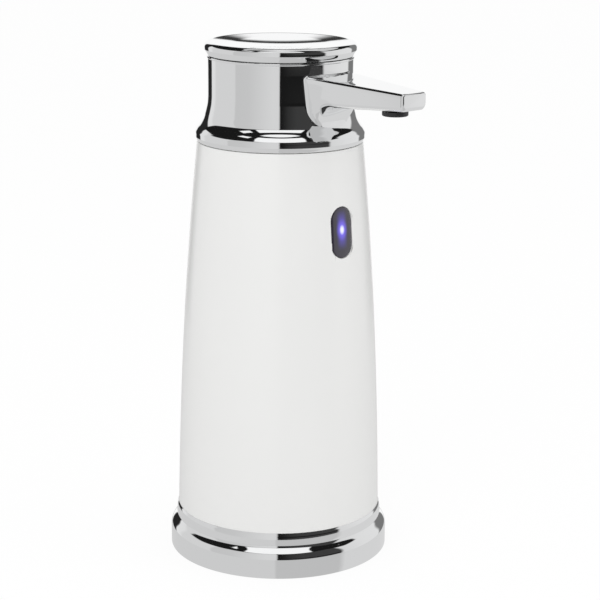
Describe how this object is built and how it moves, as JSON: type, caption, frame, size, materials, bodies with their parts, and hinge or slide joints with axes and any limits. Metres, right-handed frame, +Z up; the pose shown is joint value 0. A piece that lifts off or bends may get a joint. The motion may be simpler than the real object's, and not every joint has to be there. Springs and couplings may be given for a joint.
{
  "type": "automatic soap dispenser",
  "caption": "Free-standing touch-free soap dispenser: tapered round body on a flared base ring, waisted head with a slim spout, dished lift-off lid and a sensor window below the spout.",
  "frame": {"origin": "on the body's axis, level with the surface that the foot ring stands on", "axes": "+Z up, the spout and the sensor window face -Y, +X is to the right seen from the front"},
  "size_m": [0.1, 0.1315, 0.2333],
  "materials": {
    "chrome_shell": "polished",
    "white_body": "satin",
    "black_plastic": "matt",
    "grey_plastic": "matt",
    "acetal": "satin",
    "tank_plastic": "satin, translucent on the real one",
    "rubber": "matt",
    "silicone": "satin, translucent on the real one",
    "dark_lens": "gloss, dark violet tint",
    "led": "gloss, lit blue",
    "circuit_board": "satin",
    "steel": "plain",
    "cell_wrap": "gloss wrap with no print",
    "lead_sleeve": "satin"
  },
  "bodies": {
    "housing": {"base_ring": "chrome_shell", "head_shell": "chrome_shell", "body_shell": "white_body", "nozzle_tip": "black_plastic", "sensor_holder": "black_plastic", "power_switch": "black_plastic", "control_chip": "black_plastic", "ir_receiver": "black_plastic", "base_plate": "grey_plastic", "chassis": "grey_plastic", "gear_plate": "grey_plastic", "pump_housing": "grey_plastic", "pump_cover": "grey_plastic", "fill_collar": "grey_plastic", "soap_tank": "tank_plastic", "foot_ring": "rubber", "door_seal": "rubber", "nozzle_valve": "silicone", "delivery_tube": "silicone", "suction_tube": "silicone", "sensor_lens": "dark_lens", "ir_emitter": "dark_lens", "status_led": "led", "sensor_board": "circuit_board", "main_board": "circuit_board", "switch_board": "circuit_board", "motor": "steel", "gear_axle": "steel", "contact_plus": "steel", "contact_minus": "steel", "contact_bridge_1": "steel", "contact_bridge_2": "steel", "contact_bridge_3": "steel", "door_hinge_pin_1": "steel", "door_hinge_pin_2": "steel", "base_screw_1": "steel", "base_screw_2": "steel", "base_screw_3": "steel", "plate_screw_1": "steel", "plate_screw_2": "steel", "plate_screw_3": "steel", "pump_screw_1": "steel", "pump_screw_2": "steel", "battery_cell_1": "cell_wrap", "battery_cell_2": "cell_wrap", "battery_cell_3": "cell_wrap", "battery_cell_4": "cell_wrap", "sensor_lead": "lead_sleeve"},
    "lid_body": {"lid": "chrome_shell", "lid_seal": "rubber"},
    "button_body": {"power_button": "black_plastic", "switch_plunger": "black_plastic"},
    "door_body": {"battery_door": "grey_plastic"},
    "lock_body": {"door_lock": "grey_plastic"},
    "pump_drive_body": {"drive_gear": "acetal", "pump_rotor": "acetal"},
    "reduction_body": {"reduction_gear": "acetal"},
    "motor_rotor_body": {"motor_pinion": "steel"},
    "pump_idler_body": {"pump_idler": "acetal"}
  },
  "joints": [
    {"name": "lid_lift", "type": "slide", "parent": "housing", "child": "lid_body", "axis": [0, 0, 1], "range_m": [0, 0.03]},
    {"name": "power_press", "type": "slide", "parent": "housing", "child": "button_body", "axis": [0, 0, 1], "range_m": [0, 0.0015], "stiffness_N_per_m": 400, "springref_m": -0.001},
    {"name": "door_hinge", "type": "hinge", "parent": "housing", "child": "door_body", "pos_m": [0, -0.0323, 0.00275], "axis": [-1, 0, 0], "range_deg": [0, 92]},
    {"name": "lock_turn", "type": "hinge", "parent": "door_body", "child": "lock_body", "pos_m": [0, 0.0344, 0.003], "axis": [0, 0, 1], "range_deg": [0, 90]},
    {"name": "pump_turn", "type": "hinge", "parent": "housing", "child": "pump_drive_body", "pos_m": [-0.0176, 0.002, 0.03], "axis": [0, 0, 1], "continuous": true},
    {"name": "reduction_turn", "type": "hinge", "parent": "housing", "child": "reduction_body", "pos_m": [0, 0.002, 0.03], "axis": [0, 0, 1], "continuous": true},
    {"name": "motor_turn", "type": "hinge", "parent": "housing", "child": "motor_rotor_body", "pos_m": [0.0184, 0.002, 0.03], "axis": [0, 0, 1], "continuous": true},
    {"name": "idler_turn", "type": "hinge", "parent": "housing", "child": "pump_idler_body", "pos_m": [-0.0101, 0.01499, 0.045], "axis": [0, 0, 1], "continuous": true}
  ],
  "couplings": [
    {"joint": "reduction_turn", "follows": "pump_turn", "ratio": -2.6667},
    {"joint": "motor_turn", "follows": "pump_turn", "ratio": 9.6},
    {"joint": "idler_turn", "follows": "pump_turn", "ratio": -1}
  ]
}
